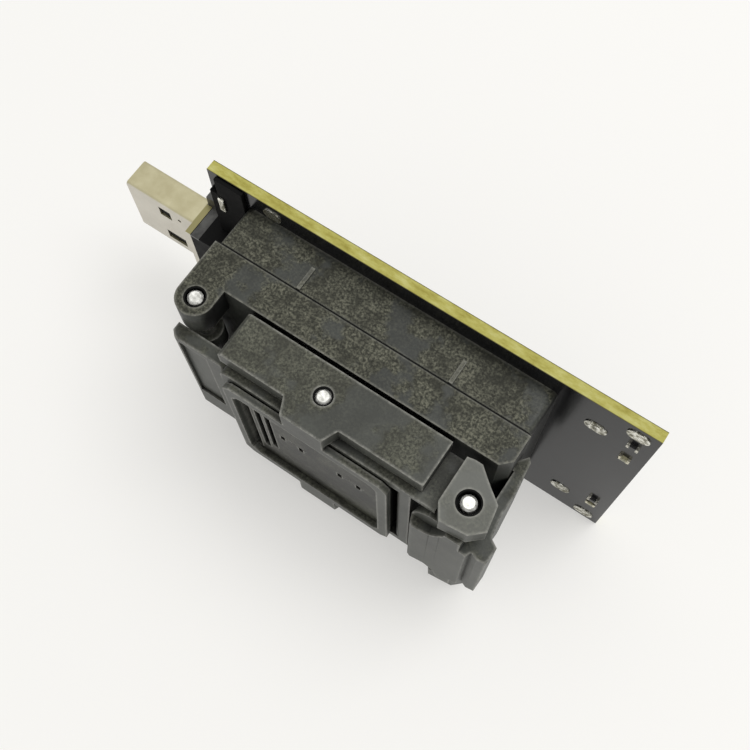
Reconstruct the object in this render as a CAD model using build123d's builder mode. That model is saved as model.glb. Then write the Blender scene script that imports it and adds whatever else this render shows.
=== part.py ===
from build123d import *
import math
import os

os.makedirs("parts", exist_ok=True)

# Frame: X runs from the plug's mouth along the board, -Y out of the board's component side,
# +Z across the board. A height is measured from the board's face, so Y = -height.

# Circuit board, its solder pads and the socket's posts
board_length = 66.0
board_width = 41.5
board_thickness = 1.6
plug_pad = (2.8, 2.0)
end_pad = (3.1, 2.2)
pad_dome = 0.15
pad_hole = 1.4
pad_edge_inset = 2.05
plug_pad_inset = 10.2
end_pad_inset = 2.6
inner_pad_inset = 7.4
inner_pad_edge_inset = 6.55
post_radius = 0.6
post_clearance = 0.1
post_tip = 1.3
post_chamfer = 0.25
post_depth = 3.2
post_near_inset = 15.25
post_far_inset = 9.2
post_side_inset = 1.3

# USB plug
plug_reach = 16.0
plug_width = 12.0
plug_height = 4.5
plug_wall = 0.3
plug_corner = 0.5
plug_length = 12.0
flange_thickness = 0.9
flange_low = -1.4
flange_high = 3.8
window_width = 2.1
window_pitch = 6.7
window_setback = 5.5
near_window_length = 2.1
far_window_length = 3.5
vent_setback = 9.3
vent_side = 3.9
vent_radius = 0.3
tongue_thickness = 1.9
tongue_setback = 1.2
tongue_side_gap = 0.2
contact_width = 1.0
contact_thickness = 0.25
contact_places = (-3.5, -1.0, 1.0, 3.5)
plug_body_reach = 4.8
plug_body_bevel = 1.2
bracket_gap = 0.03
bracket_sheet = 0.4
bracket_setback = 0.1
bracket_length = 1.4
hook_block_length = 2.5
hook_block_height = 1.6
hook_block_reach = 2.0

# Socket mouldings
socket_setback = 5.65
socket_length = 47.15
socket_width = 34.6
lower_inset = 0.5
lower_height = 6.35
upper_height = 5.25
socket_corner = 1.0
seam_chamfer = 0.2
rib_places = (12.85, 35.55)
rib_width = 0.55
rib_depth = 0.25
rib_low = 2.7
rib_high = 6.2
catch_depth = 1.3
end_chamfer = 1.35
screw_radius = 0.8
screw_head_radius = 1.5
screw_head_height = 1.2
screw_head_gap = 0.1
screw_length = 9.5
screw_tip_gap = 0.2
screw_end_inset = 6.0
screw_side_inset = 2.7

# Pins, their recesses and the hinge ears
pin_diameter = 2.1
pin_running_gap = 0.05
pin_chamfer = 0.3
pin_recess_depth = 1.8
hinge_recess_radius = 1.5
block_recess_radius = 1.3
latch_recess_radius = 1.65
ear_radius = 2.65
ear_width = 4.9
ear_gap = 0.2
hinge_height = 14.2
block_reach = 21.05
block_height = 16.1
latch_reach = 42.7
latch_height = 17.4

# Lid frame
lid_gap = 0.6
frame_clearance = 0.4
level_a = 18.8
level_b = 19.9
lid_plate_low = 16.8
lid_plate_overhang = 1.7
lid_plate_bevel = 0.75
level_a_length = 7.5
level_slope = 0.9
panel_depth = 0.45
panel_near = 0.6
panel_length = 4.5
panel_low = -7.0
panel_high = 11.0
knuckle_radius = 2.3
lug_inner = 4.0
lug_outer = 8.0
rail_outer = 14.45
rail_inner = 12.7
rail_corner = 1.2
window_near = 1.5
cross_bar_width = 2.3
cross_bar_setback = 6.4
cross_bar_round = 0.9
frame_setback = 3.0
latch_bay_half = 13.6
latch_ear_inner = 13.7
ear_outline = [
    (-3.15, -4.6), (-2.1, -4.8), (-1.1, -4.8), (1.1, -3.0), (3.0, -1.6),
    (3.6, 1.8), (1.9, 3.4), (-1.8, 3.8), (-3.1, 1.8),
]

# Pressure block
level_c = 21.0
cheek_top = 18.75
cheek_inner = 14.6
cheek_setback = 4.25
cheek_to_latch = 5.5
cheek_bevel = 0.5
block_clearance = 0.3
rim_overlap = 0.6
rim_end_gap = 0.5
rim_end_overlap = 0.4
rim_half = 13.4
rim_end_bar = 1.6
rim_side_bar = 1.8
rim_chamfer = 1.2
rim_gap = 0.18
tray_depth = 0.95
tray_corner = 1.5
boss_half = 3.05
boss_slope = 1.0
slots = ((1.2, 1.5, -10.6), (3.5, 1.0, -8.0), (5.1, 0.9, -6.0))
slot_high = 10.3
slot_depth = 5.0
slot_corner = 0.35
hook_places = (7.3, 16.6)
hook_slit = (4.2, 0.25)
hook_tooth = (0.7, 1.6)
hook_tooth_pitch = 3.0
hook_line = 2.6
hook_depth = 1.2

# Chip, probes and the floating nest
chip_length = 13.0
chip_width = 11.5
chip_clearance = 0.1
chip_seat = 9.0
ball_pitch = 0.5
ring_count = 14
ring_depth = 3
core_count = 6
index_ball = (3, 3)
probe_side = 0.3
probe_clearance = 0.02
probe_short = 0.1
plate_side = 13.0
plate_gap = 0.05
plate_height = 5.8
nest_travel = 0.5
nest_clearance = 0.2
nest_flange_low = 7.7
nest_flange_high = 9.6
nest_flange_gap = 0.05
nest_top = 11.3
nest_half_length = 9.6
nest_half_width = 10.1
nest_lip = 0.8
probe_window_gap = 0.3
mouth_chamfer = 0.8
spring_inset_x = 0.6
spring_inset_z = 0.7
spring_seat_depth = 1.5
spring_bore_depth = 1.3
spring_bore_radius = 0.95

# Pusher
pusher_gap = 0.3
pusher_face = 9.5
pusher_chamfer = 0.3
pusher_flange_low = 12.4
pusher_flange_length = 20.0
pusher_flange_width = 18.0
block_floor = 13.2
pusher_screw_inset = 1.6
pusher_screw_radius = 0.6
pusher_head_radius = 1.1
pusher_head_height = 0.5
pusher_screw_length = 3.2

# Latch: heights from the board, distances along X from its pin
nose_half = 10.0
latch_body_half = 13.4
tab_half = 9.3
tab_near = 5.75
tab_low = 19.6
tab_top = 21.9
scoop_height = 20.5
wing_half = 13.2
arm_gap = 0.2
hook_reach = 0.7
hook_top = 9.1
hook_low = 8.4
arm_low = 6.4
hook_gap = 0.3
hook_clear_height = 3.3
nose_end = 1.6
spring_pocket_radius = 2.1
spring_pocket_depth = 2.0

# Springs
hinge_wire = 0.6
hinge_coil_radius = 1.7
hinge_turns = 4
hinge_spring_half = 3.6
latch_wire = 0.45
latch_coil_radius = 1.6
latch_turns = 2.5
latch_spring_gap = 0.1
nest_wire = 0.25
nest_coil_radius = 0.6
nest_turns = 2

# Small parts on the board
chip_height = 0.5
end_part_size = (1.6, 0.8)
end_part_inset = 2.45
resistor_rows = (15.4, -10.6)
led_rows = (10.4, -12.6)
led_chamfer = 0.12
controller_setback = 12.0
controller_side = 7.0
controller_height = 0.9
crystal_setback = 19.5
crystal_size = (2.5, 3.2)
crystal_height = 0.8
package_corner = 0.3
capacitor_size = (1.0, 1.6)
capacitor_pitch = 2.4
capacitor_row = 6.5

# Places worked out from the sizes above
board_x = plug_reach
board_end = board_x + board_length
board_half = board_width / 2
upper_x = board_x + socket_setback
socket_end = upper_x + socket_length
lower_x = upper_x + lower_inset
socket_half = socket_width / 2
base_top = lower_height + upper_height
lid_bottom = base_top + lid_gap
frame_low = lid_bottom + frame_clearance
hinge_x = upper_x + ear_radius
block_x = hinge_x + block_reach
latch_x = hinge_x + latch_reach
ear_inner = socket_half - ear_width
knuckle_half = ear_inner - ear_gap
pin_radius = pin_diameter / 2
running_radius = pin_radius + pin_running_gap
frame_x = hinge_x + level_a_length
window_x = frame_x + window_near
bar_end = latch_x - cross_bar_setback
bar_x = bar_end - cross_bar_width
rim_x = window_x - rim_overlap
rim_end = bar_x - rim_end_gap
cheek_x = hinge_x + ear_radius + cheek_setback
cheek_end = latch_x - cheek_to_latch
arm_x = socket_end + arm_gap
pad_side = board_half - pad_edge_inset
inner_pad_side = board_half - inner_pad_edge_inset
post_side = socket_half - post_side_inset
screw_side = socket_half - screw_side_inset
well_half_length = nest_half_length + nest_lip
well_half_width = nest_half_width + nest_lip
spring_x = nest_half_length - spring_inset_x
spring_z = nest_half_width - spring_inset_z

plug_pad_spots = [(board_x + plug_pad_inset, z) for z in (pad_side, -pad_side)]
end_pad_spots = [(board_end - end_pad_inset, z) for z in (pad_side, -pad_side)]
end_pad_spots += [(board_end - inner_pad_inset, z) for z in (inner_pad_side, -inner_pad_side)]
pad_spots = plug_pad_spots + end_pad_spots
post_spots = [
    (x, z)
    for x in (upper_x + post_near_inset, socket_end - post_far_inset)
    for z in (post_side, -post_side)
]
screw_spots = [
    (x, z)
    for x in (upper_x + screw_end_inset, socket_end - screw_end_inset)
    for z in (screw_side, -screw_side)
]
spring_spots = [(block_x + x, z) for x in (spring_x, -spring_x) for z in (spring_z, -spring_z)]

# Side view plane: local x along X, local y is the height, extruded both ways across the part
SIDE = Plane(origin=(0, 0, 0), x_dir=(1, 0, 0), z_dir=(0, 0, -1))


def level(height):
    """Plane parallel to the board at a height: local x along X, local y along Z."""
    return Plane.XZ.offset(height)


def save(piece, name):
    """Label a finished piece and write its file."""
    piece.part.label = name
    export_step(piece.part, f"parts/{name}.step")


# Circuit board with its plated holes
with BuildPart() as board:
    with BuildSketch(level(-board_thickness)):
        with Locations((board_x, 0)):
            Rectangle(board_length, board_width, align=(Align.MIN, Align.CENTER))
        with Locations(*pad_spots):
            Circle(pad_hole / 2, mode=Mode.SUBTRACT)
        with Locations(*post_spots):
            Circle(post_radius + post_clearance, mode=Mode.SUBTRACT)
    extrude(amount=board_thickness)
save(board, "board")

# Solder fills the plated holes and stands on both faces as a low dome
with BuildPart() as solder_pads:
    for face_height in (-board_thickness - pad_dome, 0):
        with BuildSketch(level(face_height)):
            with Locations(*plug_pad_spots):
                SlotOverall(*plug_pad)
            with Locations(*end_pad_spots):
                SlotOverall(*end_pad)
        extrude(amount=pad_dome)
    with BuildSketch(level(-board_thickness)):
        with Locations(*pad_spots):
            Circle(pad_hole / 2)
    extrude(amount=board_thickness)
save(solder_pads, "solder_pads")

# Posts that locate the socket in the board
with BuildPart() as locating_pins:
    with BuildSketch(level(-board_thickness - post_tip)):
        with Locations(*post_spots):
            Circle(post_radius)
    extrude(amount=board_thickness + post_tip + post_depth)
    chamfer(locating_pins.faces().sort_by(Axis.Y)[-4:].edges(), post_chamfer)
save(locating_pins, "locating_pins")

# USB plug shell: a folded tube with windows and a vent, and the flange at its root
with BuildPart() as usb_shell:
    with BuildSketch(Plane.YZ):
        RectangleRounded(plug_height, plug_width, plug_corner)
        RectangleRounded(
            plug_height - 2 * plug_wall,
            plug_width - 2 * plug_wall,
            plug_corner - plug_wall,
            mode=Mode.SUBTRACT,
        )
    extrude(amount=plug_length)
    with BuildSketch(level(-plug_height / 2)):
        with Locations((window_setback, window_pitch / 2)):
            Rectangle(near_window_length, window_width, align=(Align.MIN, Align.CENTER))
        with Locations((window_setback, -window_pitch / 2)):
            Rectangle(far_window_length, window_width, align=(Align.MIN, Align.CENTER))
        with Locations((vent_setback, vent_side)):
            Circle(vent_radius)
    extrude(amount=plug_height, mode=Mode.SUBTRACT)
    with BuildSketch(Plane.YZ.offset(plug_length)):
        with Locations((-(flange_low + flange_high) / 2, 0)):
            Rectangle(flange_high - flange_low, plug_width)
        Rectangle(
            plug_height - 2 * plug_wall,
            plug_width - 2 * plug_wall,
            mode=Mode.SUBTRACT,
        )
    extrude(amount=flange_thickness)
save(usb_shell, "usb_shell")

# Contact strips lie on the tongue, and their tails end in the plug's rear body
plug_body_x = plug_length + flange_thickness
tongue_low = plug_height / 2 - plug_wall - tongue_thickness
with BuildPart() as usb_contacts:
    with BuildSketch(level(tongue_low)):
        with Locations(*[(2 * tongue_setback, z) for z in contact_places]):
            Rectangle(
                plug_length - 2 * tongue_setback,
                contact_width,
                align=(Align.MIN, Align.CENTER),
            )
    extrude(amount=contact_thickness)
save(usb_contacts, "usb_contacts")

# Grey bracket beside the plug's body: a sheet on each side with a hook block behind it
bracket_x = plug_body_x + bracket_setback
hook_block_x = plug_length + bracket_setback
hook_block_top = flange_low - bracket_setback
bracket_inner = plug_width / 2 - bracket_sheet
with BuildPart() as usb_legs:
    with BuildSketch(level(hook_block_top)):
        with Locations((bracket_x, bracket_inner)):
            Rectangle(bracket_length, bracket_sheet, align=(Align.MIN, Align.MIN))
    extrude(amount=flange_high - hook_block_top)
    with BuildSketch(level(hook_block_top - hook_block_height)):
        with Locations((hook_block_x, bracket_inner)):
            Rectangle(
                hook_block_length,
                bracket_sheet + hook_block_reach,
                align=(Align.MIN, Align.MIN),
            )
    extrude(amount=hook_block_height)
    mirror(about=Plane.XY)
save(usb_legs, "usb_legs")

# Plug insulator: tongue in the shell, and a rear body that runs over the board's edge
with BuildPart() as usb_body:
    with BuildSketch(SIDE):
        with BuildLine():
            Polyline(
                (plug_body_x, hook_block_top),
                (board_x, hook_block_top),
                (board_x, 0),
                (board_x + plug_body_reach, 0),
                (board_x + plug_body_reach, flange_high - plug_body_bevel),
                (board_x + plug_body_reach - plug_body_bevel, flange_high),
                (plug_body_x, flange_high),
                close=True,
            )
        make_face()
    extrude(amount=plug_width / 2, both=True)
    for side in (1, -1):
        with BuildSketch(level(hook_block_top)):
            with Locations((bracket_x + bracket_length / 2, side * plug_width / 2)):
                Rectangle(
                    bracket_length + 2 * bracket_gap,
                    2 * (bracket_sheet + bracket_gap),
                )
        extrude(amount=flange_high - hook_block_top, mode=Mode.SUBTRACT)
    with BuildSketch(level(tongue_low)):
        with Locations((tongue_setback, 0)):
            Rectangle(
                plug_body_x - tongue_setback,
                plug_width - 2 * (plug_wall + tongue_side_gap),
                align=(Align.MIN, Align.CENTER),
            )
    extrude(amount=tongue_thickness)
    add(usb_contacts.part, mode=Mode.SUBTRACT)
save(usb_body, "usb_body")

# Lower moulding: a groove along the seam, ribs on its long sides, seats for plate and springs
with BuildPart() as lower_base:
    with BuildSketch(level(0)):
        with Locations((lower_x, 0)):
            Rectangle(socket_end - lower_x, socket_width, align=(Align.MIN, Align.CENTER))
    extrude(amount=lower_height)
    fillet(lower_base.edges().filter_by(Axis.Y), socket_corner)
    chamfer(lower_base.faces().sort_by(Axis.Y)[0].edges(), seam_chamfer)
    with BuildSketch(level(rib_low)):
        with Locations(*[(upper_x + place, 0) for place in rib_places]):
            Rectangle(rib_width, socket_width + 2 * rib_depth)
    extrude(amount=rib_high - rib_low)
    with BuildSketch(level(0)):
        with Locations((block_x, 0)):
            Rectangle(plate_side + 2 * plate_gap, plate_side + 2 * plate_gap)
        with Locations(*screw_spots):
            Circle(screw_radius)
    extrude(amount=lower_height, mode=Mode.SUBTRACT)
    with BuildSketch(level(0)):
        with Locations(*post_spots):
            Circle(post_radius)
    extrude(amount=post_depth, mode=Mode.SUBTRACT)
    with BuildSketch(level(0)):
        with Locations(*screw_spots):
            Circle(screw_head_radius + screw_head_gap)
    extrude(amount=screw_head_height + screw_head_gap, mode=Mode.SUBTRACT)
    with BuildSketch(level(lower_height - spring_seat_depth)):
        with Locations(*spring_spots):
            Circle(spring_bore_radius)
    extrude(amount=spring_seat_depth, mode=Mode.SUBTRACT)
save(lower_base, "lower_base")

# Screws from below hold the two mouldings together
with BuildPart() as body_screws:
    with BuildSketch(level(screw_head_gap)):
        with Locations(*screw_spots):
            Circle(screw_head_radius)
    extrude(amount=screw_head_height)
    with BuildSketch(level(screw_head_gap)):
        with Locations(*screw_spots):
            Circle(screw_radius)
    extrude(amount=screw_length)
save(body_screws, "body_screws")

# Upper moulding: hinge ears, stepped well that traps the nest, and the catch at its far end
with BuildPart() as upper_base:
    with BuildSketch(level(lower_height)):
        with Locations((upper_x, 0)):
            Rectangle(socket_length, socket_width, align=(Align.MIN, Align.CENTER))
    extrude(amount=upper_height)
    chamfer(upper_base.edges().group_by(Axis.X)[-1].group_by(Axis.Y)[0], end_chamfer)
    with BuildSketch(SIDE):
        with Locations((hinge_x, hinge_height)):
            Circle(ear_radius)
        with Locations((hinge_x, lower_height)):
            Rectangle(2 * ear_radius, hinge_height - lower_height, align=(Align.CENTER, Align.MIN))
    extrude(amount=socket_half, both=True)
    with BuildSketch(SIDE):
        with Locations((upper_x, base_top)):
            Rectangle(2 * ear_radius, hinge_height, align=(Align.MIN, Align.MIN))
    extrude(amount=ear_inner, both=True, mode=Mode.SUBTRACT)
    with BuildSketch(level(lower_height)):
        with Locations((block_x, 0)):
            Rectangle(2 * (nest_half_length + nest_clearance), 2 * (nest_half_width + nest_clearance))
    extrude(amount=upper_height, mode=Mode.SUBTRACT)
    with BuildSketch(level(lower_height)):
        with Locations((block_x, 0)):
            Rectangle(2 * (well_half_length + nest_clearance), 2 * (well_half_width + nest_clearance))
    extrude(amount=nest_flange_high + nest_flange_gap - lower_height, mode=Mode.SUBTRACT)
    with BuildSketch(level(lower_height)):
        with Locations((socket_end, 0)):
            Rectangle(catch_depth, 2 * (nose_half + hook_gap), align=(Align.MAX, Align.CENTER))
    extrude(amount=hook_top + hook_gap - lower_height, mode=Mode.SUBTRACT)
    with BuildSketch(level(lower_height)):
        with Locations(*screw_spots):
            Circle(screw_radius)
    extrude(amount=screw_length + screw_head_gap + screw_tip_gap - lower_height, mode=Mode.SUBTRACT)
    with BuildSketch(Plane.XY.offset(-socket_half)):
        with Locations((hinge_x, -hinge_height)):
            Circle(pin_radius)
    extrude(amount=socket_width, mode=Mode.SUBTRACT)
    for ring_z in (socket_half - pin_recess_depth, -socket_half):
        with BuildSketch(Plane.XY.offset(ring_z)):
            with Locations((hinge_x, -hinge_height)):
                Circle(hinge_recess_radius)
        extrude(amount=pin_recess_depth, mode=Mode.SUBTRACT)
save(upper_base, "upper_base")


def cross_pin(x, height):
    """Steel pin across the socket with bevelled ends."""
    with BuildPart() as pin:
        with BuildSketch(Plane.XY.offset(-socket_half)):
            with Locations((x, -height)):
                Circle(pin_radius)
        extrude(amount=socket_width)
        chamfer(pin.edges().filter_by(GeomType.CIRCLE), pin_chamfer)
    return pin


save(cross_pin(hinge_x, hinge_height), "hinge_pin")
save(cross_pin(block_x, block_height), "block_pin")
save(cross_pin(latch_x, latch_height), "latch_pin")


def ball_spots():
    """Chip's solder balls: a ring three deep, a small ring inside it and one index ball."""
    spots = []
    core_edge = (ring_count - core_count) // 2
    middle = (ring_count - 1) / 2
    for column in range(ring_count):
        for row in range(ring_count):
            edge = min(column, row, ring_count - 1 - column, ring_count - 1 - row)
            if edge < ring_depth or edge == core_edge or (column, row) == index_ball:
                spots.append((block_x + (column - middle) * ball_pitch, (row - middle) * ball_pitch))
    return spots


with BuildPart() as contact_probes:
    with BuildSketch(level(0)):
        with Locations(*ball_spots()):
            Rectangle(probe_side, probe_side)
    extrude(amount=chip_seat - probe_short)
save(contact_probes, "contact_probes")

# Insulating plate that carries the probes
with BuildPart() as probe_plate:
    with BuildSketch(level(0)):
        with Locations((block_x, 0)):
            Rectangle(plate_side, plate_side)
        with Locations(*ball_spots()):
            Rectangle(
                probe_side + 2 * probe_clearance,
                probe_side + 2 * probe_clearance,
                mode=Mode.SUBTRACT,
            )
    extrude(amount=plate_height)
save(probe_plate, "probe_plate")

# Floating nest: flange under the well's lip, chip pocket with a sloped mouth, open floor
probe_window = ring_count * ball_pitch + 2 * probe_window_gap
with BuildPart() as chip_nest:
    with BuildSketch(level(nest_flange_low)):
        with Locations((block_x, 0)):
            Rectangle(2 * well_half_length, 2 * well_half_width)
    extrude(amount=nest_flange_high - nest_flange_low)
    with BuildSketch(level(nest_flange_low)):
        with Locations((block_x, 0)):
            Rectangle(2 * nest_half_length, 2 * nest_half_width)
    extrude(amount=nest_top - nest_flange_low)
    with BuildSketch(level(chip_seat)):
        with Locations((block_x, 0)):
            Rectangle(chip_length + 2 * chip_clearance, chip_width + 2 * chip_clearance)
    extrude(amount=nest_top - chip_seat, mode=Mode.SUBTRACT)
    chamfer(chip_nest.faces().sort_by(Axis.Y)[0].inner_wires().edges(), mouth_chamfer)
    with BuildSketch(level(nest_flange_low)):
        with Locations((block_x, 0)):
            Rectangle(probe_window, probe_window)
    extrude(amount=chip_seat - nest_flange_low, mode=Mode.SUBTRACT)
    with BuildSketch(level(nest_flange_low)):
        with Locations(*spring_spots):
            Circle(spring_bore_radius)
    extrude(amount=spring_bore_depth, mode=Mode.SUBTRACT)
save(chip_nest, "chip_nest")


def coil(center, direction, radius, wire, turns, height):
    """Square wire wound on a helix that rises from its centre along a direction."""
    with BuildPart() as winding:
        with BuildLine():
            path = Helix(height / turns, height, radius, center=center, direction=direction)
        with BuildSketch(Plane(origin=path @ 0, z_dir=path % 0)):
            Rectangle(wire, wire)
        sweep(path=path, is_frenet=True)
    return winding.part


# Four springs lift the nest; they are drawn at their shortest, as under a pressed chip
nest_spring_base = lower_height - spring_seat_depth + nest_wire
nest_spring_top = nest_flange_low + spring_bore_depth - nest_travel - nest_wire
with BuildPart() as nest_springs:
    for spot_x, spot_z in spring_spots:
        seat = (spot_x, -nest_spring_base, spot_z)
        nest_spring_height = nest_spring_top - nest_spring_base
        add(coil(seat, (0, -1, 0), nest_coil_radius, nest_wire, nest_turns, nest_spring_height))
save(nest_springs, "nest_springs")

# Lid lever: top plate with its panel, two lugs on the hinge pin, raised frame, latch ears
lid_length = latch_x - frame_setback - frame_x
with BuildPart() as lid_frame:
    with BuildSketch(SIDE):
        with BuildLine():
            Polyline(
                (hinge_x - lid_plate_overhang, lid_plate_low),
                (hinge_x - lid_plate_overhang, level_a - lid_plate_bevel),
                (hinge_x - lid_plate_overhang + lid_plate_bevel, level_a),
                (frame_x - level_slope, level_a),
                (frame_x, level_b),
                (frame_x, lid_plate_low),
                close=True,
            )
        make_face()
    extrude(amount=knuckle_half, both=True)
    with BuildSketch(level(level_a - panel_depth)):
        with Locations((hinge_x - panel_near, (panel_low + panel_high) / 2)):
            Rectangle(panel_length, panel_high - panel_low, align=(Align.MIN, Align.CENTER))
    extrude(amount=panel_depth, mode=Mode.SUBTRACT)
    for lug_z in (lug_inner, -lug_outer):
        with BuildSketch(Plane.XY.offset(lug_z)):
            with Locations((hinge_x, -hinge_height)):
                Circle(knuckle_radius)
                Rectangle(
                    2 * lid_plate_overhang,
                    lid_plate_low - hinge_height,
                    align=(Align.CENTER, Align.MAX),
                )
        extrude(amount=lug_outer - lug_inner)
    with BuildSketch(level(frame_low)):
        with Locations((frame_x, 0)):
            Rectangle(lid_length, 2 * rail_outer, align=(Align.MIN, Align.CENTER))
        fillet(vertices().group_by(Axis.X)[0], rail_corner)
        with Locations((window_x, 0)):
            Rectangle(
                bar_x - window_x,
                2 * rail_inner,
                align=(Align.MIN, Align.CENTER),
                mode=Mode.SUBTRACT,
            )
        with Locations((bar_end, 0)):
            Rectangle(
                latch_x - bar_end,
                2 * latch_bay_half,
                align=(Align.MIN, Align.CENTER),
                mode=Mode.SUBTRACT,
            )
    extrude(amount=level_b - frame_low)
    with BuildSketch(SIDE):
        with Locations((bar_x, level_b)):
            Rectangle(cross_bar_round, cross_bar_round, align=(Align.MIN, Align.MAX))
        with Locations((bar_x + cross_bar_round, level_b - cross_bar_round)):
            Circle(cross_bar_round, mode=Mode.SUBTRACT)
    extrude(amount=rail_inner, both=True, mode=Mode.SUBTRACT)
    for ear_z in (latch_ear_inner, -socket_half):
        with BuildSketch(Plane.XY.offset(ear_z)):
            with BuildLine():
                Polyline(
                    *[(latch_x + x, -latch_height - rise) for x, rise in ear_outline],
                    close=True,
                )
            make_face()
        extrude(amount=socket_half - latch_ear_inner)
    with BuildSketch(Plane.XY.offset(-knuckle_half)):
        with Locations((hinge_x, -hinge_height)):
            Circle(running_radius)
    extrude(amount=2 * knuckle_half, mode=Mode.SUBTRACT)
    for pin_x, pin_height in ((block_x, block_height), (latch_x, latch_height)):
        with BuildSketch(Plane.XY.offset(-socket_half)):
            with Locations((pin_x, -pin_height)):
                Circle(pin_radius)
        extrude(amount=socket_width, mode=Mode.SUBTRACT)
    for ring_z in (socket_half - pin_recess_depth, -socket_half):
        with BuildSketch(Plane.XY.offset(ring_z)):
            with Locations((latch_x, -latch_height)):
                Circle(latch_recess_radius)
        extrude(amount=pin_recess_depth, mode=Mode.SUBTRACT)
save(lid_frame, "lid_frame")

# Pusher: wide flange under the block and a raised face that enters the nest's pocket
pusher_screw_x = pusher_flange_length / 2 - pusher_screw_inset
pusher_screw_z = pusher_flange_width / 2 - pusher_screw_inset
pusher_screw_spots = [
    (block_x + x, z)
    for x in (pusher_screw_x, -pusher_screw_x)
    for z in (pusher_screw_z, -pusher_screw_z)
]
with BuildPart() as pusher_plate:
    with BuildSketch(level(pusher_flange_low)):
        with Locations((block_x, 0)):
            Rectangle(pusher_flange_length, pusher_flange_width)
        with Locations(*pusher_screw_spots):
            Circle(pusher_screw_radius, mode=Mode.SUBTRACT)
    extrude(amount=block_floor - pusher_flange_low)
    with BuildSketch(level(pusher_face)):
        with Locations((block_x, 0)):
            Rectangle(chip_length - 2 * pusher_gap, chip_width - 2 * pusher_gap)
    extrude(amount=pusher_flange_low - pusher_face)
    chamfer(pusher_plate.faces().sort_by(Axis.Y)[-1].edges(), pusher_chamfer)
save(pusher_plate, "pusher_plate")

with BuildPart() as pusher_screws:
    with BuildSketch(level(pusher_flange_low - pusher_head_height)):
        with Locations(*pusher_screw_spots):
            Circle(pusher_head_radius)
    extrude(amount=pusher_head_height)
    with BuildSketch(level(pusher_flange_low)):
        with Locations(*pusher_screw_spots):
            Circle(pusher_screw_radius)
    extrude(amount=pusher_screw_length)
save(pusher_screws, "pusher_screws")

# Pressure block: rim and tray in the lid's window, bosses over the rails, cheeks outside them
block_near = window_x + block_clearance
rim_length = rim_end - rim_x
rim_middle = (rim_x + rim_end) / 2
rim_low = level_b + rim_gap
with BuildPart() as pressure_block:
    with BuildSketch(level(block_floor)):
        with Locations((block_near, 0)):
            Rectangle(
                rim_end - rim_end_overlap - block_near,
                2 * (rail_inner - block_clearance),
                align=(Align.MIN, Align.CENTER),
            )
    extrude(amount=level_c - block_floor)
    with BuildSketch(level(rim_low)):
        with Locations((rim_middle, 0)):
            Rectangle(rim_length, 2 * rim_half)
        chamfer(vertices(), rim_chamfer)
    extrude(amount=level_c - rim_low)
    with BuildSketch(level(lid_bottom)):
        with Locations((cheek_x, 0)):
            Rectangle(cheek_end - cheek_x, socket_width, align=(Align.MIN, Align.CENTER))
        chamfer(vertices().group_by(Axis.X)[0], cheek_bevel)
        with Locations((cheek_x, 0)):
            Rectangle(
                cheek_end - cheek_x,
                2 * cheek_inner,
                align=(Align.MIN, Align.CENTER),
                mode=Mode.SUBTRACT,
            )
    extrude(amount=cheek_top - lid_bottom)
    for cheek_z in (cheek_inner, -socket_half):
        with BuildSketch(Plane.XY.offset(cheek_z)):
            with Locations((block_x, -cheek_top)):
                Trapezoid(
                    2 * (boss_half + boss_slope),
                    level_c - cheek_top,
                    math.degrees(math.atan2(level_c - cheek_top, boss_slope)),
                    rotation=180,
                    align=(Align.CENTER, Align.MIN),
                )
        extrude(amount=socket_half - cheek_inner)
    with BuildSketch(level(rim_low)):
        with Locations((block_x, 0)):
            Rectangle(2 * boss_half, 2 * socket_half)
    extrude(amount=level_c - rim_low)
    with BuildSketch(level(level_c - tray_depth)):
        with Locations((rim_middle, 0)):
            Rectangle(rim_length - 2 * rim_end_bar, 2 * (rim_half - rim_side_bar))
        fillet(vertices(), tray_corner)
    extrude(amount=tray_depth, mode=Mode.SUBTRACT)
    with BuildSketch(level(level_c - slot_depth)):
        for slot_place, slot_width, slot_low in slots:
            with Locations((rim_x + slot_place, slot_low)):
                Rectangle(slot_width, slot_high - slot_low, align=(Align.MIN, Align.MIN))
        fillet(vertices(), slot_corner)
    extrude(amount=slot_depth, mode=Mode.SUBTRACT)
    with BuildSketch(level(level_c - tray_depth - hook_depth)):
        for place in hook_places:
            with Locations((rim_x + place, hook_line)):
                Rectangle(*hook_slit, align=(Align.MIN, Align.MAX))
                Rectangle(*hook_tooth, align=(Align.MIN, Align.MAX))
            with Locations((rim_x + place + hook_tooth_pitch, hook_line)):
                Rectangle(*hook_tooth, align=(Align.MIN, Align.MAX))
    extrude(amount=hook_depth, mode=Mode.SUBTRACT)
    with BuildSketch(level(block_floor)):
        with Locations(*pusher_screw_spots):
            Circle(pusher_screw_radius)
    extrude(amount=pusher_flange_low + pusher_screw_length - block_floor, mode=Mode.SUBTRACT)
    with BuildSketch(Plane.XY.offset(-socket_half)):
        with Locations((block_x, -block_height)):
            Circle(running_radius)
    extrude(amount=socket_width, mode=Mode.SUBTRACT)
    for ring_z in (socket_half - pin_recess_depth, -socket_half):
        with BuildSketch(Plane.XY.offset(ring_z)):
            with Locations((block_x, -block_height)):
                Circle(block_recess_radius)
        extrude(amount=pin_recess_depth, mode=Mode.SUBTRACT)
save(pressure_block, "pressure_block")

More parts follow.
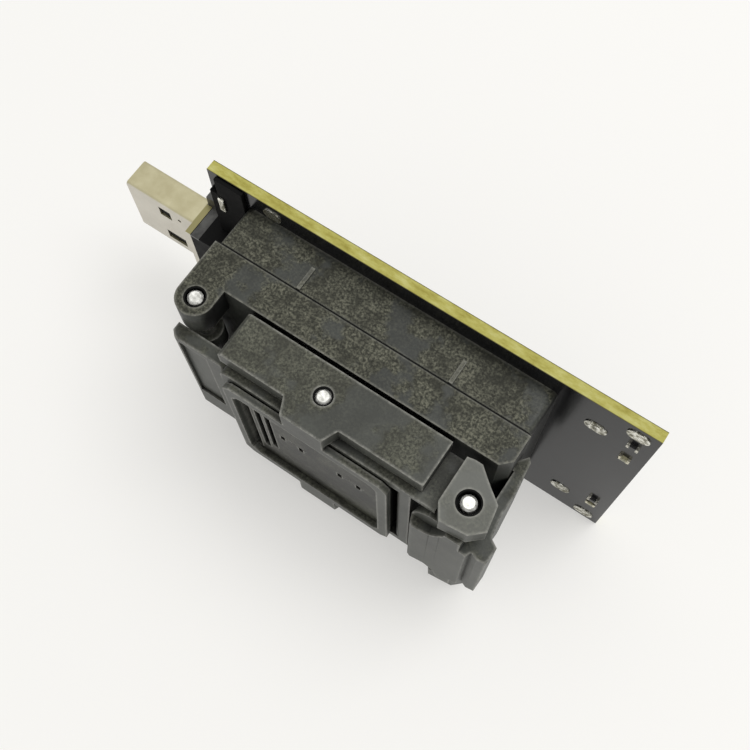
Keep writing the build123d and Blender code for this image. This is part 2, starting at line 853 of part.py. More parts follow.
# Latch: one side profile with finger tab, notched nose, arm and hook, cut to its plan outlines
with BuildPart() as latch:
    with BuildSketch(SIDE):
        with BuildLine():
            Polyline(
                (latch_x - tab_near + 0.6, tab_low),
                (latch_x - tab_near, scoop_height),
                (latch_x - 5.3, tab_top - 0.2),
                (latch_x - 4.8, tab_top),
                (latch_x - 1.1, tab_top - 0.4),
                (latch_x + 2.6, tab_top - 0.4),
                (latch_x + 3.0, tab_top - 1.2),
                (latch_x + 4.0, tab_top - 0.8),
                (latch_x + 5.2, tab_top - 0.95),
                (latch_x + 5.3, latch_height + 1.1),
                (latch_x + 4.1, latch_height + 0.4),
                (latch_x + 3.6, latch_height - 3.0),
                (latch_x + 3.7, latch_height - 5.2),
                (latch_x + 3.3, latch_height - 9.4),
                (latch_x + 3.2, arm_low + 0.6),
                (latch_x + 2.7, arm_low),
                (socket_end - hook_reach, hook_low),
                (socket_end - hook_reach, hook_top),
                (arm_x, hook_top),
                (arm_x, latch_height - 3.4),
                (latch_x + 0.9, latch_height - 2.8),
                (latch_x - 1.8, latch_height - 2.4),
                (latch_x - 2.6, latch_height),
                (latch_x - 2.4, tab_low),
                close=True,
            )
        make_face()
    extrude(amount=latch_body_half, both=True)
    with BuildSketch(level(arm_low)):
        for side in (1, -1):
            with Locations((latch_x - tab_near, side * latch_body_half)):
                Rectangle(
                    4 * tab_near,
                    2 * (latch_body_half - nose_half),
                    align=(Align.MIN, Align.CENTER),
                )
    extrude(amount=latch_height - hook_clear_height - arm_low, mode=Mode.SUBTRACT)
    with BuildSketch(level(arm_low)):
        for side in (1, -1):
            with Locations((latch_x + nose_end, side * latch_body_half)):
                Rectangle(
                    2 * tab_near,
                    2 * (latch_body_half - nose_half),
                    align=(Align.MIN, Align.CENTER),
                )
    extrude(amount=tab_top - arm_low, mode=Mode.SUBTRACT)
    with BuildSketch(level(tab_low)):
        with BuildLine():
            wing = ThreePointArc(
                (latch_x - tab_near, tab_half),
                (latch_x - 4.9, wing_half - 1.3),
                (latch_x - 3.5, wing_half),
            )
            Polyline(
                wing @ 1,
                (latch_x - 3.5, latch_body_half + 1),
                (latch_x - tab_near - 1, latch_body_half + 1),
                (latch_x - tab_near - 1, tab_half),
                wing @ 0,
            )
        make_face()
        mirror(about=Plane.XZ)
    extrude(amount=scoop_height - tab_low, mode=Mode.SUBTRACT)
    with BuildSketch(level(scoop_height)):
        with BuildLine():
            scoop = ThreePointArc(
                (latch_x - 2.7, tab_half),
                (latch_x - 1.4, tab_half + 1.7),
                (latch_x - 0.6, latch_body_half),
            )
            Polyline(
                scoop @ 1,
                (latch_x - 0.6, latch_body_half + 1),
                (latch_x - tab_near - 1, latch_body_half + 1),
                (latch_x - tab_near - 1, tab_half),
                scoop @ 0,
            )
        make_face()
        mirror(about=Plane.XZ)
    extrude(amount=tab_top - scoop_height, mode=Mode.SUBTRACT)
    with BuildSketch(Plane.XY.offset(-latch_body_half)):
        with Locations((latch_x, -latch_height)):
            Circle(running_radius)
    extrude(amount=2 * latch_body_half, mode=Mode.SUBTRACT)
    for pocket_z in (latch_body_half - spring_pocket_depth, -latch_body_half):
        with BuildSketch(Plane.XY.offset(pocket_z)):
            with Locations((latch_x, -latch_height)):
                Circle(spring_pocket_radius)
        extrude(amount=spring_pocket_depth, mode=Mode.SUBTRACT)
save(latch, "latch")

# Torsion springs on the latch pin, one in each pocket of the latch
latch_spring_width = spring_pocket_depth - latch_wire - 2 * latch_spring_gap
with BuildPart() as latch_springs:
    for side in (1, -1):
        outer_turn = latch_body_half - latch_spring_gap - latch_wire / 2
        seat = (latch_x, -latch_height, side * outer_turn)
        add(coil(seat, (0, 0, -side), latch_coil_radius, latch_wire, latch_turns, latch_spring_width))
save(latch_springs, "latch_springs")

# Torsion spring on the hinge pin, between the lid's lugs
hinge_spring_width = 2 * (hinge_spring_half - hinge_wire)
with BuildPart() as hinge_spring:
    seat = (hinge_x, -hinge_height, -hinge_spring_width / 2)
    add(coil(seat, (0, 0, 1), hinge_coil_radius, hinge_wire, hinge_turns, hinge_spring_width))
save(hinge_spring, "hinge_spring")

# Parts on the board's free end, seen beside the socket
with BuildPart() as chip_resistors:
    with BuildSketch(level(0)):
        with Locations(*[(board_end - end_part_inset, z) for z in resistor_rows]):
            Rectangle(*end_part_size)
    extrude(amount=chip_height)
save(chip_resistors, "chip_resistors")

with BuildPart() as status_leds:
    with BuildSketch(level(0)):
        with Locations(*[(board_end - end_part_inset, z) for z in led_rows]):
            Rectangle(*end_part_size)
    extrude(amount=chip_height)
    chamfer(status_leds.faces().group_by(Axis.Y)[0].edges(), led_chamfer)
save(status_leds, "status_leds")

# Parts on the board's back: controller, crystal and capacitors
with BuildPart() as controller_chip:
    with BuildSketch(level(-board_thickness - controller_height)):
        with Locations((board_x + controller_setback, 0)):
            RectangleRounded(controller_side, controller_side, package_corner)
    extrude(amount=controller_height)
save(controller_chip, "controller_chip")

with BuildPart() as crystal:
    with BuildSketch(level(-board_thickness - crystal_height)):
        with Locations((board_x + crystal_setback, 0)):
            RectangleRounded(*crystal_size, package_corner)
    extrude(amount=crystal_height)
save(crystal, "crystal")

capacitor_spots = [(board_x + controller_setback, z) for z in (capacitor_row, -capacitor_row)]
with BuildPart() as back_capacitors:
    with BuildSketch(level(-board_thickness - chip_height)):
        with Locations(*capacitor_spots):
            with GridLocations(capacitor_pitch, 0, 3, 1):
                Rectangle(*capacitor_size)
    extrude(amount=chip_height)
save(back_capacitors, "back_capacitors")
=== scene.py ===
import bpy
import bmesh
import math
from mathutils import Matrix, Vector


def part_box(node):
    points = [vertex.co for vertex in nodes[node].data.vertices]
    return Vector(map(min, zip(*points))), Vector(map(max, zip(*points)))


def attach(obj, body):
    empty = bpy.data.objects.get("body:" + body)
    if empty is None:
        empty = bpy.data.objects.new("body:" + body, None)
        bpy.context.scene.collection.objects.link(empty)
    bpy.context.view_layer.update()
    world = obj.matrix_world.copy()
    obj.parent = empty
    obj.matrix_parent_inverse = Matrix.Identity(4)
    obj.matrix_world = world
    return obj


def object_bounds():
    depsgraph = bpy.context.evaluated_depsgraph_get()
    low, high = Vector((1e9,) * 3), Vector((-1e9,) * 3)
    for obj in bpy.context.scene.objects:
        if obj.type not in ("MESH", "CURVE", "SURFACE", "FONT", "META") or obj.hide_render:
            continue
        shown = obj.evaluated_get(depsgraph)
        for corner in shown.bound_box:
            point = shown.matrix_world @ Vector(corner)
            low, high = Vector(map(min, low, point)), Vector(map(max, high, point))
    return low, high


MM = 0.001

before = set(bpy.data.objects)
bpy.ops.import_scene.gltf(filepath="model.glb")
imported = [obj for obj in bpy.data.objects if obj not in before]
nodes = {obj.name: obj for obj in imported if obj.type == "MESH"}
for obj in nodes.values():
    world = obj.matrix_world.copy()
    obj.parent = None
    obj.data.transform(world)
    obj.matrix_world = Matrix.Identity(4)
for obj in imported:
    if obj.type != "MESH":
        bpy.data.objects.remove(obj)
cad_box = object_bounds()

# Camera worked out from the photograph, in the object's frame
camera_place = Vector((75.25, -46.41, 134.72)) * MM
camera_forward = Vector((-0.20881, 0.28719, -0.93484))
camera_right = Vector((0.82818, 0.56031, -0.01286))
focal_pixels = 1031.5
image_pixels = 750
sensor_width = 36.0

# Light given by the surroundings, how bright they and the floor look, and the lamp, in metres
world_light = 0.56
world_seen = 0.9
floor_glow = 0.445
floor_half = 1.5
lamp_aim = Vector((0.045, -0.01, 0.0))
lamp_place = lamp_aim + Vector((0.25, 0.25, 0.9))
lamp_size = 0.6
lamp_watts = 4.9

# Places that the materials follow: heights are above the board's front face
# Height and width of a dark line of painted shade along the gap between the base mouldings:
seam_height = 6.35 * MM
seam_core = 0.08 * MM
seam_rim = 0.14 * MM
# Recessed tray floor that gets painted shade:
tray_height = 20.05 * MM
tray_half = 11.8 * MM
tray_fade = 0.1 * MM
# Span over which a painted sheen lightens the lid's upward faces towards its latch end:
ear_start = 60.0 * MM
ear_full = 64.0 * MM
flange_start = 11.9 * MM
flange_full = 12.0 * MM
board_half = 0.8 * MM
board_rim = 0.13 * MM
board_rim_dark = 0.04 * MM
small_part_x = 79.55 * MM
small_part_cap = 0.42 * MM
small_part_cap_full = 0.46 * MM

# Edges rubbed by wear and lightened as a painted highlight, painted shade in hollows, and
# rounding of the mouldings
wear_and_highlight_reach = 0.45 * MM
hollow_reach = 3.0 * MM
occlusion_samples = 12
edge_rounding = 0.12 * MM
edge_segments = 2
edge_least_turn = math.radians(30)
weld_reach = 0.002 * MM

# Black sleeves of painted shade in the recesses round the pins: node, body and outer radius
recess_shade_rings = (
    ("hinge_pin", "base", 1.49 * MM),
    ("block_pin", "pressure_block", 1.29 * MM),
    ("latch_pin", "lid", 1.64 * MM),
)
socket_half = 17.3 * MM
ring_wall = 0.2 * MM
ring_depth = 1.75 * MM
ring_sink = 0.06 * MM
ring_bevel_share = 0.3
ring_steps = 48

# The socket's two plastics: smooth colour, the sand's dark, middle and light grains,
# how fine and how rare the sandy patches are, and the colour of edges rubbed by wear, which also
# paints their highlight
base_look = {
    "calm": (0.064, 0.068, 0.063),
    "grain": ((0.02, 0.02, 0.014), (0.07, 0.071, 0.052), (0.17, 0.168, 0.125)),
    "patch_scale": 150.0,
    "patch_start": 0.42,
    "wear_and_highlight": (0.2, 0.198, 0.17),
}
lid_look = {
    "calm": (0.084, 0.088, 0.079),
    "grain": ((0.036, 0.036, 0.028), (0.08, 0.082, 0.063), (0.14, 0.141, 0.107)),
    "patch_scale": 110.0,
    "patch_start": 0.44,
    "wear_and_highlight": (0.27, 0.268, 0.24),
}
# Painted shade on the base's end faces, along its gap line, in hollows and on the tray floor, and
# a painted sheen on the lid's latch end:
end_painted_shade = (0.008, 0.008, 0.008)
seam_painted_shade = (0.003, 0.003, 0.003)
hollow_painted_shade = (0.002, 0.002, 0.002)
tray_painted_shade = (0.004, 0.004, 0.003)
latch_end_sheen_grey = (0.2, 0.203, 0.185)


def add_camera():
    """Camera at the photograph's viewpoint, looking down on the socket's upper side."""
    data = bpy.data.cameras.new("camera")
    data.sensor_width = sensor_width
    data.lens = sensor_width * focal_pixels / image_pixels
    data.clip_start = 0.005
    data.clip_end = 20.0
    camera = bpy.data.objects.new("camera", data)
    back = -camera_forward.normalized()
    right = (camera_right - camera_right.dot(back) * back).normalized()
    up = back.cross(right)
    turn = Matrix((right, up, back)).transposed().to_4x4()
    camera.matrix_world = Matrix.Translation(camera_place) @ turn
    bpy.context.scene.collection.objects.link(camera)
    bpy.context.scene.camera = camera


def seen_rays(tree):
    """1 for rays from the camera, mirrors and glass, 0 for soft light."""
    path = tree.nodes.new("ShaderNodeLightPath")
    seen = path.outputs["Is Camera Ray"]
    for ray in ("Is Glossy Ray", "Is Transmission Ray"):
        either = tree.nodes.new("ShaderNodeMath")
        either.operation = "MAXIMUM"
        tree.links.new(seen, either.inputs[0])
        tree.links.new(path.outputs[ray], either.inputs[1])
        seen = either.outputs["Value"]
    return seen


def darker(colour, share):
    """The same colour at a share of its brightness."""
    return tuple(share * part for part in colour)


class Graph:
    """Short helper for building one material's nodes."""

    def __init__(self, name):
        self.material = bpy.data.materials.new(name)
        self.material.use_nodes = True
        self.tree = self.material.node_tree
        self.shader = self.tree.nodes["Principled BSDF"]
        self.coordinates = self.tree.nodes.new("ShaderNodeTexCoord")

    def link(self, source, target):
        self.tree.links.new(source, target)

    def noise(self, scale, detail=4.0, roughness=0.6, stretch=None):
        """Noise over the object's own coordinates, scale in features per metre."""
        node = self.tree.nodes.new("ShaderNodeTexNoise")
        node.inputs["Scale"].default_value = scale
        node.inputs["Detail"].default_value = detail
        node.inputs["Roughness"].default_value = roughness
        source = self.coordinates.outputs["Object"]
        if stretch:
            mapping = self.tree.nodes.new("ShaderNodeMapping")
            mapping.inputs["Scale"].default_value = stretch
            self.link(source, mapping.inputs["Vector"])
            source = mapping.outputs["Vector"]
        self.link(source, node.inputs["Vector"])
        return node.outputs["Fac"]

    def ramp(self, factor, stops):
        """Colour ramp with (position, colour) stops."""
        node = self.tree.nodes.new("ShaderNodeValToRGB")
        elements = node.color_ramp.elements
        while len(elements) < len(stops):
            elements.new(0.5)
        for element, (position, colour) in zip(elements, stops):
            element.position = position
            element.color = (*colour, 1.0)
        self.link(factor, node.inputs["Fac"])
        return node.outputs["Color"]

    def two_tone(self, cloud, dark, light):
        """Cloudy mix of a dark and a light colour."""
        return self.ramp(cloud, [(0.35, dark), (0.65, light)])

    def span(self, value, low, high, new_low=0.0, new_high=1.0):
        """Map a value from one span to another, clamped."""
        node = self.tree.nodes.new("ShaderNodeMapRange")
        node.inputs["From Min"].default_value = low
        node.inputs["From Max"].default_value = high
        node.inputs["To Min"].default_value = new_low
        node.inputs["To Max"].default_value = new_high
        self.link(value, node.inputs["Value"])
        return node.outputs["Result"]

    def mix(self, factor, first, second):
        """Mix two colours, each a socket or a plain colour."""
        node = self.tree.nodes.new("ShaderNodeMix")
        node.data_type = "RGBA"
        self.link(factor, node.inputs["Factor"])
        for socket, value in ((node.inputs[6], first), (node.inputs[7], second)):
            if isinstance(value, tuple):
                socket.default_value = (*value, 1.0)
            else:
                self.link(value, socket)
        return node.outputs[2]

    def maths(self, operation, first, second=None):
        """One arithmetic step on a value, or on two."""
        node = self.tree.nodes.new("ShaderNodeMath")
        node.operation = operation
        for socket, value in zip(node.inputs, (first, second)):
            if isinstance(value, float):
                socket.default_value = value
            elif value is not None:
                self.link(value, socket)
        return node.outputs["Value"]

    def covered(self, reach, inside):
        """How far the surface is covered within a reach, seen from outside or from inside."""
        node = self.tree.nodes.new("ShaderNodeAmbientOcclusion")
        node.inside = inside
        node.only_local = inside
        node.samples = occlusion_samples
        node.inputs["Distance"].default_value = reach
        return self.maths("SUBTRACT", 1.0, node.outputs["AO"])

    def edges(self, reach):
        """1 along outer edges, falling to 0 at a distance from them."""
        return self.covered(reach, inside=True)

    def hollows(self, reach):
        """1 deep in corners and recesses, 0 on open faces."""
        return self.covered(reach, inside=False)

    def part_of(self, source, axis):
        """One axis of the object's own "Object" or "Normal" coordinates."""
        split = self.tree.nodes.new("ShaderNodeSeparateXYZ")
        self.link(self.coordinates.outputs[source], split.inputs["Vector"])
        return split.outputs[axis]

    def facing(self, axis):
        """How far the surface faces along an axis, either way, from 0 to 1."""
        return self.maths("ABSOLUTE", self.part_of("Normal", axis))

    def upper_side(self):
        """1 on faces towards +Z, where the photograph shows the sand."""
        return self.span(self.part_of("Normal", "Z"), 0.6, 0.9)

    def distance(self, axis, middle):
        """Distance in metres from a plane across an axis."""
        offset = self.maths("SUBTRACT", self.part_of("Object", axis), middle)
        return self.maths("ABSOLUTE", offset)

    def bump(self, height, strength, distance):
        node = self.tree.nodes.new("ShaderNodeBump")
        node.inputs["Strength"].default_value = strength
        node.inputs["Distance"].default_value = distance
        self.link(height, node.inputs["Height"])
        self.link(node.outputs["Normal"], self.shader.inputs["Normal"])

    def scratches(self, strength):
        """Fine bumps drawn out along X."""
        self.bump(self.noise(5200.0, 2.0, 0.6, (0.15, 1.0, 1.0)), strength, 0.03 * MM)

    def set(self, **values):
        """Constant inputs of the shader itself."""
        names = {
            "metallic": "Metallic",
            "roughness": "Roughness",
            "specular": "Specular IOR Level",
        }
        for key, value in values.items():
            self.shader.inputs[names[key]].default_value = value

    def colour(self, socket):
        self.link(socket, self.shader.inputs["Base Color"])

    def roughness(self, socket):
        self.link(socket, self.shader.inputs["Roughness"])


# Painted light on the socket's plastics: each takes the graph, its colour so far and its sand


def shaded_ends(graph, base, sand):
    """Painted shade: the base mouldings' end faces, facing along X, are darkened."""
    end = graph.span(graph.facing("X"), 0.7, 0.9, 0.0, 0.85)
    return graph.mix(end, base, end_painted_shade)


def sheened_latch_end(graph, base, sand):
    """Painted sheen: the lid's upward faces are lightened towards its latch end."""
    latch_end_sheen = graph.span(graph.part_of("Object", "X"), ear_start, ear_full, 0.0, 0.5)
    return graph.mix(graph.maths("MULTIPLY", latch_end_sheen, graph.upper_side()), base, latch_end_sheen_grey)


def shaded_tray(graph, base, sand):
    """Painted shade: the recessed tray's floor is darkened in clouds over its sand."""
    flat = graph.span(graph.distance("Y", -tray_height), tray_fade / 2, tray_fade, 1.0, 0.0)
    inside = graph.span(graph.distance("Z", 0.0), tray_half, tray_half + tray_fade, 1.0, 0.0)
    tray_shade = graph.span(graph.noise(180.0, 5.0, 0.7), 0.4, 0.6, 0.25, 0.85)
    shaded_sand = graph.mix(tray_shade, sand, tray_painted_shade)
    return graph.mix(graph.maths("MULTIPLY", flat, inside), base, shaded_sand)


def socket_plastic(name, look, painted_light=None):
    """Glass-filled moulding: smooth patches beside sandy grain on its sides, edges rubbed pale by
    wear and lightened as a painted highlight, and painted shade along a gap line and in hollows
    and recesses.
    """
    graph = Graph(name)
    cloud = graph.span(graph.noise(110.0, 6.0, 0.65), 0.38, 0.62)
    smooth = graph.mix(cloud, darker(look["calm"], 0.62), look["calm"])

    grit = graph.noise(2900.0, 4.0, 0.7)
    dark, middle, light = look["grain"]
    grains = graph.ramp(grit, [(0.38, dark), (0.49, middle), (0.6, light)])
    thin = graph.span(graph.noise(230.0, 6.0, 0.75), 0.42, 0.6, 0.0, 0.8)
    sand = graph.mix(thin, grains, dark)

    patch = graph.noise(look["patch_scale"], 3.5, 0.6, (1.0, 1.0, 1.2))
    in_patch = graph.span(patch, look["patch_start"], look["patch_start"] + 0.06)
    sandy = graph.maths("MULTIPLY", in_patch, graph.upper_side())
    colour = graph.mix(graph.span(sandy, 0.0, 1.0, 0.2, 0.95), smooth, sand)
    # Painted light that a moulding adds to its colour
    if painted_light:
        colour = painted_light(graph, colour, sand)

    # Edges rubbed pale by wear, and lightened as a painted highlight
    flake = graph.span(graph.noise(1500.0, 4.0, 0.7), 0.38, 0.6, 0.3, 1.0)
    edge = graph.span(graph.edges(wear_and_highlight_reach), 0.08, 0.42)
    colour = graph.mix(graph.maths("MULTIPLY", edge, flake), colour, look["wear_and_highlight"])
    # Painted shade: a dark line along the gap between the base mouldings
    seam_gap_shade = graph.span(graph.distance("Y", -seam_height), seam_core, seam_rim, 1.0, 0.0)
    colour = graph.mix(seam_gap_shade, colour, seam_painted_shade)
    # Painted shade: hollows and recesses darkened to near black
    hollow_shade = graph.span(graph.hollows(hollow_reach), 0.3, 0.75, 0.0, 0.97)
    graph.colour(graph.mix(hollow_shade, colour, hollow_painted_shade))
    graph.roughness(graph.span(sandy, 0.0, 1.0, 0.42, 0.6))
    graph.bump(grit, 0.4, 0.06 * MM)
    graph.set(specular=0.2)
    return graph.material


def brushed_metal(name, dark, light, low_rough, high_rough, scale):
    """Metal with faint cloudy tone and fine scratches."""
    graph = Graph(name)
    cloud = graph.noise(scale)
    graph.colour(graph.two_tone(cloud, dark, light))
    graph.roughness(graph.span(cloud, 0.3, 0.7, low_rough, high_rough))
    graph.scratches(0.12)
    graph.set(metallic=1.0)
    return graph.material


def moulded_plastic(name, dark, light, rough, specular=0.5):
    """Plain moulding with a slight cloud and grain."""
    graph = Graph(name)
    cloud = graph.noise(600.0)
    graph.colour(graph.two_tone(cloud, dark, light))
    graph.roughness(graph.span(cloud, 0.3, 0.7, rough - 0.08, rough + 0.08))
    graph.bump(graph.noise(4200.0, 3.0, 0.6), 0.2, 0.04 * MM)
    graph.set(specular=specular)
    return graph.material


def deep_black(name, rough):
    """Black that hardly shines: the plug's plastic, and painted shade in the recess sleeves and
    beside the plug's root.
    """
    return moulded_plastic(name, (0.002, 0.002, 0.002), (0.006, 0.006, 0.006), rough, 0.1)


def board_material():
    """Glossy black solder mask on both faces, and the laminate's yellow on the cut edges."""
    graph = Graph("board_mask_and_edge")
    cloud = graph.noise(240.0)
    mask = graph.two_tone(cloud, (0.006, 0.006, 0.007), (0.011, 0.011, 0.012))
    fibre = graph.noise(700.0, 5.0, 0.75, (0.35, 1.0, 0.35))
    yellows = [(0.32, (0.3, 0.26, 0.045)), (0.5, (0.44, 0.41, 0.105)), (0.66, (0.54, 0.52, 0.19))]
    edge = graph.ramp(fibre, yellows)
    rim_start, rim_full = board_half - board_rim, board_half - board_rim_dark
    rim = graph.span(graph.distance("Y", board_half), rim_start, rim_full, 0.0, 0.92)
    edge = graph.mix(rim, edge, (0.05, 0.04, 0.012))
    on_face = graph.span(graph.facing("Y"), 0.5, 0.6)
    graph.colour(graph.mix(on_face, edge, mask))
    graph.roughness(graph.span(on_face, 0.0, 1.0, 0.62, 0.17))
    graph.bump(graph.noise(1500.0, 3.0, 0.6), 0.06, 0.03 * MM)
    graph.set(specular=0.2)
    return graph.material


def solder_material():
    """Uneven bright solder with dull grey hollows."""
    graph = Graph("bright_solder")
    lump = graph.noise(1500.0, 3.0, 0.65)
    tones = [(0.4, (0.2, 0.19, 0.14)), (0.52, (0.62, 0.61, 0.53)), (0.62, (0.9, 0.89, 0.82))]
    graph.colour(graph.ramp(lump, tones))
    graph.roughness(graph.span(lump, 0.4, 0.6, 0.5, 0.25))
    graph.bump(lump, 0.9, 0.25 * MM)
    graph.set(metallic=1.0)
    return graph.material


def plug_material():
    """Nickel-plated shell: pale on its wide faces, khaki on its narrow ones and on the flange."""
    graph = Graph("plug_nickel")
    cloud = graph.noise(260.0)
    wide = graph.two_tone(cloud, (0.58, 0.55, 0.48), (0.67, 0.64, 0.57))
    narrow = graph.two_tone(cloud, (0.46, 0.42, 0.265), (0.55, 0.515, 0.35))
    on_side = graph.span(graph.facing("Z"), 0.5, 0.8)
    shell = graph.mix(on_side, wide, narrow)
    at_flange = graph.span(graph.part_of("Object", "X"), flange_start, flange_full)
    flange = graph.maths("MULTIPLY", at_flange, on_side)
    graph.colour(graph.mix(flange, shell, (0.27, 0.245, 0.12)))
    graph.roughness(graph.span(cloud, 0.3, 0.7, 0.36, 0.5))
    graph.scratches(0.1)
    graph.set(metallic=1.0)
    return graph.material


def small_part_material(name, body, ends, rough):
    """Small two-ended part: a body between two bright metal ends."""
    graph = Graph(name)
    from_middle = graph.distance("X", small_part_x)
    end = graph.span(from_middle, small_part_cap, small_part_cap_full)
    lump = graph.noise(2600.0, 3.0, 0.6)
    cloudy = graph.mix(graph.span(lump, 0.4, 0.6), darker(body, 0.5), body)
    bright = graph.mix(graph.span(lump, 0.42, 0.6), darker(ends, 0.35), ends)
    graph.colour(graph.mix(end, cloudy, bright))
    graph.link(end, graph.shader.inputs["Metallic"])
    graph.roughness(graph.span(end, 0.0, 1.0, rough, 0.35))
    graph.bump(lump, 0.5, 0.1 * MM)
    return graph.material


def floor_material():
    """Pale table top: white to the light, and seen near white with a lighter shadow."""
    graph = Graph("pale_table")
    seen = seen_rays(graph.tree)
    cloud = graph.noise(3.0, 2.0, 0.5)
    table = graph.ramp(cloud, [(0.3, (0.89, 0.885, 0.86)), (0.7, (0.9, 0.895, 0.875))])
    graph.colour(graph.mix(seen, table, (0.52, 0.515, 0.5)))
    graph.shader.inputs["Emission Color"].default_value = (1.0, 0.99, 0.965, 1.0)
    glow = graph.maths("MULTIPLY", seen, floor_glow)
    graph.link(glow, graph.shader.inputs["Emission Strength"])
    graph.set(roughness=0.9, specular=0.0)
    return graph.material


def give(material, *names):
    """Put a material on the slots of CAD nodes."""
    for name in names:
        slots = nodes[name].data.materials
        slots.clear()
        slots.append(material)


def soften(*names):
    """Round the moulded edges of CAD nodes for the light to catch."""
    for name in names:
        weld = nodes[name].modifiers.new("weld", "WELD")
        weld.merge_threshold = weld_reach
        bevel = nodes[name].modifiers.new("bevel", "BEVEL")
        bevel.width = edge_rounding
        bevel.segments = edge_segments
        bevel.limit_method = "ANGLE"
        bevel.angle_limit = edge_least_turn
        bevel.harden_normals = True


def dress_mouldings():
    """Plastics and rounded edges of the socket."""
    base = socket_plastic("socket_base_plastic", base_look, shaded_ends)
    give(base, "lower_base", "upper_base", "probe_plate", "chip_nest")
    give(socket_plastic("lid_frame_plastic", lid_look, sheened_latch_end), "lid_frame")
    give(socket_plastic("block_plastic", lid_look, shaded_tray), "pressure_block")
    give(socket_plastic("latch_plastic", lid_look), "latch")
    soften("lower_base", "upper_base", "lid_frame", "pressure_block", "latch")


def dress_metals():
    """Pins, springs, screws, pusher, plug shell, contacts and solder."""
    steel = brushed_metal("pin_steel", (0.42, 0.42, 0.39), (0.82, 0.82, 0.79), 0.42, 0.62, 1900.0)
    give(steel, "hinge_pin", "block_pin", "latch_pin", "locating_pins", "body_screws")
    give(steel, "nest_springs", "latch_springs", "hinge_spring", "pusher_screws")
    pusher = brushed_metal("pusher_metal", (0.4, 0.4, 0.39), (0.52, 0.52, 0.5), 0.36, 0.46, 150.0)
    give(pusher, "pusher_plate")
    give(plug_material(), "usb_shell")
    can = brushed_metal("can_nickel", (0.66, 0.61, 0.45), (0.78, 0.74, 0.58), 0.34, 0.46, 260.0)
    give(can, "crystal")
    give(solder_material(), "solder_pads")
    gold = brushed_metal("contact_gold", (0.72, 0.5, 0.2), (0.86, 0.64, 0.3), 0.25, 0.4, 900.0)
    give(gold, "usb_contacts", "contact_probes")


def dress_board():
    """The board, its small parts, and the plug's plastic and bracket."""
    bracket = moulded_plastic("bracket_grey", (0.03, 0.03, 0.028), (0.085, 0.085, 0.08), 0.38)
    give(bracket, "usb_legs")
    give(deep_black("plug_black", 0.6), "usb_body")
    chip = moulded_plastic("package_black", (0.02, 0.02, 0.021), (0.035, 0.035, 0.036), 0.5)
    give(chip, "controller_chip")
    resistor = small_part_material("resistor", (0.012, 0.012, 0.012), (0.8, 0.78, 0.68), 0.4)
    give(resistor, "chip_resistors")
    lens = small_part_material("led_lens", (0.5, 0.47, 0.3), (0.8, 0.76, 0.6), 0.25)
    give(lens, "status_leds")
    ceramic = moulded_plastic("capacitor_ceramic", (0.3, 0.2, 0.12), (0.42, 0.3, 0.19), 0.5)
    give(ceramic, "back_capacitors")
    give(board_material(), "board")


def add_piece(name, mesh, material, body):
    """Turn a finished mesh into a piece that rides on a CAD body."""
    data = bpy.data.meshes.new(name)
    mesh.to_mesh(data)
    mesh.free()
    data.materials.append(material)
    piece = bpy.data.objects.new(name, data)
    bpy.context.scene.collection.objects.link(piece)
    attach(piece, body)


def ring_profile(outer):
    """Half section of a thin sleeve whose mouth is bevelled: (radius, depth) points."""
    inner = outer - ring_wall
    bevel = ring_bevel_share * ring_wall
    return [
        (inner, ring_depth),
        (inner, ring_sink + bevel),
        (inner + bevel, ring_sink),
        (outer, ring_sink),
        (outer, ring_depth),
    ]


def add_sleeve(mesh, middle, outer, side):
    """Add a sleeve round a pin's end on one side of the socket."""
    turns = [2 * math.pi * step / ring_steps for step in range(ring_steps)]
    loops = []
    for radius, depth in ring_profile(outer):
        z = side * (socket_half - depth)
        spots = [
            (middle.x + radius * math.cos(turn), middle.y + radius * math.sin(turn), z)
            for turn in turns
        ]
        loops.append([mesh.verts.new(spot) for spot in spots])
    for first, second in zip(loops, loops[1:] + loops[:1]):
        for step in range(ring_steps):
            after = (step + 1) % ring_steps
            mesh.faces.new((first[step], first[after], second[after], second[step]))


def add_recess_shade_rings():
    """Black sleeves of painted shade that line the recesses round the pins' ends."""
    # Near black standing in for the shade in the recesses
    plastic = deep_black("recess_painted_shade", 0.7)
    for name, body, outer in recess_shade_rings:
        low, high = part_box(name)
        middle = (Vector(low) + Vector(high)) / 2
        mesh = bmesh.new()
        for side in (1, -1):
            add_sleeve(mesh, middle, outer, side)
        bmesh.ops.recalc_face_normals(mesh, faces=mesh.faces)
        add_piece(name + "_recess_shade_ring", mesh, plastic, body)


def add_block(name, low, high, rounding, material, body):
    """Block between two corners in mm, with rounded edges, on a CAD body."""
    low, high = Vector(low) * MM, Vector(high) * MM
    mesh = bmesh.new()
    bmesh.ops.create_cube(mesh, size=1.0)
    bmesh.ops.scale(mesh, vec=high - low, verts=mesh.verts)
    bmesh.ops.translate(mesh, vec=(low + high) / 2, verts=mesh.verts)
    bmesh.ops.bevel(
        mesh, geom=mesh.edges, offset=rounding * MM, segments=3, profile=0.5, affect="EDGES"
    )
    add_piece(name, mesh, material, body)


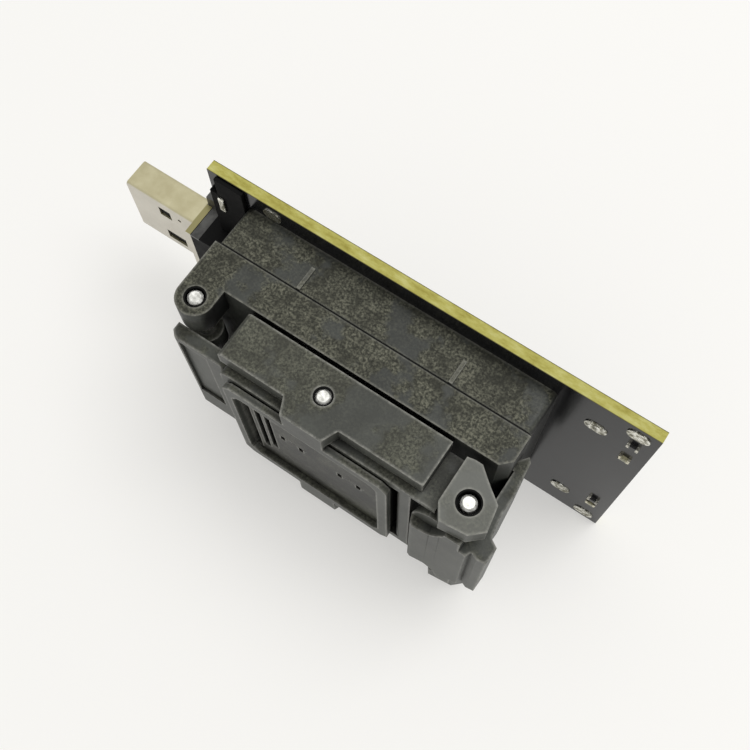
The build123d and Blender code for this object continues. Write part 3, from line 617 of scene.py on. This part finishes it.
def add_plug_shade_sheets():
    """Black sheets on the board beside the plug's root, painted dark reflection and shade of the
    plug, each with its soldered tab.
    """
    # Near black of painted dark reflection and shade on the board
    black = deep_black("plug_painted_shade", 0.75)
    solder = solder_material()
    # Name, span along X, along Y and across the board, rounding, all in mm, and material
    pieces = (
        ("plug_shade_sheet_", (16.1, 21.9), (-0.62, -0.02), (6.1, 16.7), 0.12, black),
        ("plug_shade_sheet_tip_", (17.4, 21.9), (-0.62, -0.02), (16.5, 20.4), 0.12, black),
        ("plug_tab_", (17.5, 18.5), (-0.95, -0.55), (13.2, 16.2), 0.14, solder),
    )
    for side, end in ((1, "near"), (-1, "far")):
        for name, along, up, across, rounding, material in pieces:
            reach = sorted((side * across[0], side * across[1]))
            low, high = zip(along, up, reach)
            add_block(name + end, low, high, rounding, material, "base")


def add_floor():
    """Table top under the board's long edge."""
    mesh = bpy.data.meshes.new("table_top")
    low = cad_box[0][2]
    ends = ((-1, -1), (1, -1), (1, 1), (-1, 1))
    corners = [(x * floor_half, y * floor_half, low) for x, y in ends]
    mesh.from_pydata(corners, [], [(0, 1, 2, 3)])
    floor = bpy.data.objects.new("table_top", mesh)
    mesh.materials.append(floor_material())
    bpy.context.scene.collection.objects.link(floor)


def add_world():
    """Even white surroundings, seen as plain near white."""
    world = bpy.data.worlds.new("soft_white")
    bpy.context.scene.world = world
    world.use_nodes = True
    tree = world.node_tree
    background = tree.nodes["Background"]
    background.inputs["Color"].default_value = (1.0, 0.995, 0.98, 1.0)
    strength = tree.nodes.new("ShaderNodeMapRange")
    strength.inputs["To Min"].default_value = world_light
    strength.inputs["To Max"].default_value = world_seen
    tree.links.new(seen_rays(tree), strength.inputs["Value"])
    tree.links.new(strength.outputs["Result"], background.inputs["Strength"])


def add_lamp():
    """One soft square lamp from above."""
    data = bpy.data.lights.new("top_lamp", "AREA")
    data.size = lamp_size
    data.energy = lamp_watts
    lamp = bpy.data.objects.new("top_lamp", data)
    lamp.location = lamp_place
    lamp.rotation_euler = (lamp_aim - lamp_place).to_track_quat("-Z", "Y").to_euler()
    bpy.context.scene.collection.objects.link(lamp)


add_camera()
dress_mouldings()
dress_metals()
dress_board()
add_recess_shade_rings()
add_plug_shade_sheets()
add_floor()
add_world()
add_lamp()

bpy.context.scene.view_settings.view_transform = "Standard"
